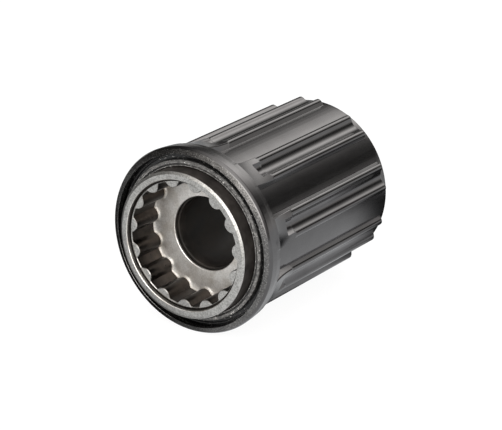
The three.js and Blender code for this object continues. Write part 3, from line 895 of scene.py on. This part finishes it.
def make_pawls():
    """A pawl: round heel, square nose, and a slot in which the ring spring lies."""
    low, high = SPRING_Y - SPRING_SLOT / 2, SPRING_Y + SPRING_SLOT / 2
    bm = bmesh.new()
    slab(bm, pawl_outline(), *PAWL_Y)
    bmesh.ops.recalc_face_normals(bm, faces=bm.faces)
    blank_mesh = bpy.data.meshes.new("pawl_blank")
    bm.to_mesh(blank_mesh)
    bm.free()
    blank = bpy.data.objects.new("pawl_blank", blank_mesh)
    bpy.context.collection.objects.link(blank)
    cut(blank, [(-2, 0.1), (1, 0.1), (1, 3), (-2, 3)], low, high)
    cut(blank, [(0.6, -3), (8, -3), (8, 3), (0.6, 3)], low, high)
    for name, at in PAWL_ANGLES.items():
        bm = bmesh.new()
        bm.from_mesh(blank.data)
        hard = [e for e in bm.edges if len(e.link_faces) == 2 and e.calc_face_angle(0) > radians(40)]
        bmesh.ops.bevel(bm, geom=hard, offset=0.07 * MM, segments=2, affect="EDGES", profile=0.6)
        a = radians(at)
        nose, out = Vector((sin(a), 0, -cos(a))), Vector((cos(a), 0, sin(a)))
        for vert in bm.verts:
            u, y, v = vert.co
            vert.co = out * (PAWL_PIVOT_R * MM) + nose * u + out * v + Vector((0, y + ORIGIN_Y * MM, 0))
        finish_mesh(bm, name + "_fine", name, "ground_steel", GROUND, name)
    bpy.data.objects.remove(blank)


def make_spring():
    """An open ring of round wire whose ends are dressed round."""
    gap, gap_at, steps, sides = 16, 120, 160, 14
    bm = bmesh.new()
    stations = [(1.0, gap_at + gap / 2 + t * (360 - gap)) for t in np.linspace(0, 1, steps)]
    nose = [(cos(radians(x)), sin(radians(x)) * degrees(SPRING_WIRE_R / SPRING_RING_R)) for x in (80, 55, 28)]
    first = [(size, stations[0][1] - reach) for size, reach in nose]
    last = [(size, stations[-1][1] + reach) for size, reach in reversed(nose)]
    rings = []
    for size, at in first + stations + last:
        ring = []
        for k in range(sides):
            x = 2 * pi * k / sides
            ring.append(bm.verts.new(put(SPRING_RING_R + size * SPRING_WIRE_R * cos(x),
                                         SPRING_Y + size * SPRING_WIRE_R * sin(x), at)))
        rings.append(ring)
    for one, two in zip(rings, rings[1:]):
        for k in range(sides):
            m = (k + 1) % sides
            bm.faces.new((one[k], one[m], two[m], two[k]))
    bm.faces.new(rings[0][::-1])
    bm.faces.new(rings[-1])
    finish_mesh(bm, "pawl_ring_spring", "core", "spring_steel", SPRING, "pawl_spring")


make_driver()
make_core()
make_cup()
make_shim("shim_thick")
make_shim("shim_thin")
make_inboard_seal()
make_outboard_seal()
make_balls()
make_pawls()
make_spring()


# ---- floor, light, camera ----

ROOM_LEVEL = 0.07
GLOWS = [                        # direction, how narrow, radiance at the middle
    ((0.0, 0.761, 0.648), 24.0, 3.1),
    ((0.45, -0.80, 0.45), 5.0, 7.5),
    ((0.15, 0.10, 0.98), 8.0, 2.2),
    ((0.0, 0.93, 0.37), 60.0, 0.9),
]
HORIZON_GLOW = 1.1               # radiance low down behind the part
SHADOW_SLANT = 0.857              # y over x of the edge of the part's painted shadow on the mirrored floor
SHADOW_EDGE = (11 * MM, 22 * MM)  # the painted shadow darkens from the first to the second of these past that edge
SHADOW_END = (80 * MM, 120 * MM)  # and brightens again this far from the part
SHADE_LEFT = (-150 * MM, -20 * MM)       # though less so towards the left, as painted shade there
UNDER_SHADOW = (15 * MM, 32 * MM)         # shade under the part, drawn out to its left by the lean
UNDER_SHADOW_LEAN = 0.85
FILL_BACK, FILL_DISTANCE = (0.2, -0.3, 1.0), 0.9         # direction of the panel, and metres to it
FILL_SIZE, FILL_POWER = 1.2, 3.0         # metres and watts
CAMERA_AZIMUTH, CAMERA_ELEVATION = radians(35.42), radians(20.95)
CAMERA_PLACE = (243.9, -320.4, 160.3)    # millimetres, in the row frame
CAMERA_LENS, CAMERA_SENSOR = 166.5, 36


def make_floor():
    """White to the camera. The steel mirrors a painted pattern instead: bright paper with a painted
    shadow of the part behind it and painted shade under it and to its left, which a plain floor does not
    have."""
    bm = bmesh.new()
    bmesh.ops.create_grid(bm, x_segments=1, y_segments=1, size=3.0)
    mesh = bpy.data.meshes.new("floor")
    bm.to_mesh(mesh)
    bm.free()
    floor = bpy.data.objects.new("floor", mesh)
    floor.location.z = CAD_BOX[0].z - 0.02 * MM
    bpy.context.collection.objects.link(floor)
    n = Nodes("pale_floor")
    n.surface((0.93, 0.93, 0.93, 1), 0.0, 0.9)
    n.bsdf.inputs["Specular IOR Level"].default_value = 0.0
    white = n.add("ShaderNodeEmission")
    white.inputs["Strength"].default_value = 1.02
    split = n.add("ShaderNodeSeparateXYZ")
    n.link(n.coords, split.inputs[0])
    x, y = split.outputs[0], split.outputs[1]
    # Painted shadow and painted shade for mirror rays: dark behind the part past a slanted edge, under it,
    # and towards its left.
    past = n.math("SUBTRACT", y, n.math("MULTIPLY", x, SHADOW_SLANT))
    reach = n.length(x, y)
    far = n.math("MULTIPLY", n.spread(reach, *SHADOW_END, 0.0, 0.9), n.spread(x, *SHADE_LEFT, 0.3, 1.0))
    lit = n.math("MAXIMUM", n.spread(past, *SHADOW_EDGE, 1.0, 0.0), far)
    clear = n.spread(n.math("ADD", reach, n.math("MULTIPLY", x, UNDER_SHADOW_LEAN)), *UNDER_SHADOW, 0.0, 1.08)
    mirrored = n.add("ShaderNodeEmission")
    mirrored.inputs["Color"].default_value = (0.96, 0.98, 1.0, 1)
    n.link(n.math("ADD", n.math("MULTIPLY", lit, clear), 0.04), mirrored.inputs["Strength"])
    path = n.add("ShaderNodeLightPath")
    to_camera = n.add("ShaderNodeMixShader")
    n.link(n.math("MULTIPLY", path.outputs["Is Camera Ray"], 0.92), to_camera.inputs[0])
    n.link(n.bsdf.outputs[0], to_camera.inputs[1])
    n.link(white.outputs[0], to_camera.inputs[2])
    mix = n.add("ShaderNodeMixShader")
    n.link(path.outputs["Is Glossy Ray"], mix.inputs[0])
    n.link(to_camera.outputs[0], mix.inputs[1])
    n.link(mirrored.outputs[0], mix.inputs[2])
    n.link(mix.outputs[0], n.tree.nodes["Material Output"].inputs["Surface"])
    mesh.materials.append(n.material)


def make_fill():
    """A soft square panel overhead, which lights the part but is not mirrored in it."""
    light = bpy.data.lights.new("fill", "AREA")
    light.shape = "SQUARE"
    light.size = FILL_SIZE
    light.energy = FILL_POWER
    lamp = bpy.data.objects.new("fill", light)
    back = Vector(FILL_BACK).normalized()
    lamp.location = back * FILL_DISTANCE
    lamp.rotation_mode = "QUATERNION"
    lamp.rotation_quaternion = back.to_track_quat("Z", "Y")
    lamp.visible_glossy = False
    bpy.context.collection.objects.link(lamp)


def make_world():
    """White to the camera; to everything else a dim room with soft glows where lamps stand."""
    n = Nodes("studio", world=True)
    bpy.context.scene.world = n.material
    n.tree.nodes.clear()
    looking = n.add("ShaderNodeTexCoord").outputs["Generated"]
    level = ROOM_LEVEL
    for direction, spread_power, strength in GLOWS:
        dot = n.add("ShaderNodeVectorMath", operation="DOT_PRODUCT")
        n.link(looking, dot.inputs[0])
        n.link(tuple(Vector(direction).normalized()), dot.inputs[1])
        facing = n.math("MAXIMUM", dot.outputs["Value"], 0.0)
        level = n.math("ADD", n.math("MULTIPLY", n.math("POWER", facing, spread_power), strength), level)
    split = n.add("ShaderNodeSeparateXYZ")
    n.link(looking, split.inputs[0])
    behind = n.spread(split.outputs[1], 0.0, 0.4, 0.0, 1.0)
    low = n.math("MULTIPLY", n.spread(split.outputs[2], 0.04, 0.26, HORIZON_GLOW, 0.0), behind)
    low = n.math("MULTIPLY", low, n.spread(split.outputs[0], -0.6, -0.2, 0.4, 1.0))
    level = n.math("ADD", level, low)
    room = n.add("ShaderNodeBackground")
    n.link((1.0, 0.985, 0.965, 1), room.inputs["Color"])
    n.link(level, room.inputs["Strength"])
    seen = n.add("ShaderNodeBackground")
    n.link((1, 1, 1, 1), seen.inputs["Color"])
    mix = n.add("ShaderNodeMixShader")
    n.link(n.add("ShaderNodeLightPath").outputs["Is Camera Ray"], mix.inputs[0])
    n.link(room.outputs[0], mix.inputs[1])
    n.link(seen.outputs[0], mix.inputs[2])
    n.link(mix.outputs[0], n.add("ShaderNodeOutputWorld").inputs["Surface"])


def make_camera():
    """Three-quarter view from the inboard end, through a long lens."""
    camera = bpy.data.objects.new("camera", bpy.data.cameras.new("camera"))
    across = cos(CAMERA_ELEVATION)
    back = Vector((sin(CAMERA_AZIMUTH) * across, -cos(CAMERA_AZIMUTH) * across, sin(CAMERA_ELEVATION)))
    camera.data.sensor_width = CAMERA_SENSOR
    camera.data.lens = CAMERA_LENS
    x, y, z = CAMERA_PLACE
    camera.location = Vector((x, y + ORIGIN_Y, z)) * MM
    camera.rotation_mode = "QUATERNION"
    camera.rotation_quaternion = (-back).to_track_quat("-Z", "Y")
    camera.data.clip_start = 0.01
    bpy.context.collection.objects.link(camera)
    bpy.context.scene.camera = camera


make_floor()
make_fill()
make_world()
make_camera()
bpy.context.scene.view_settings.view_transform = "Standard"
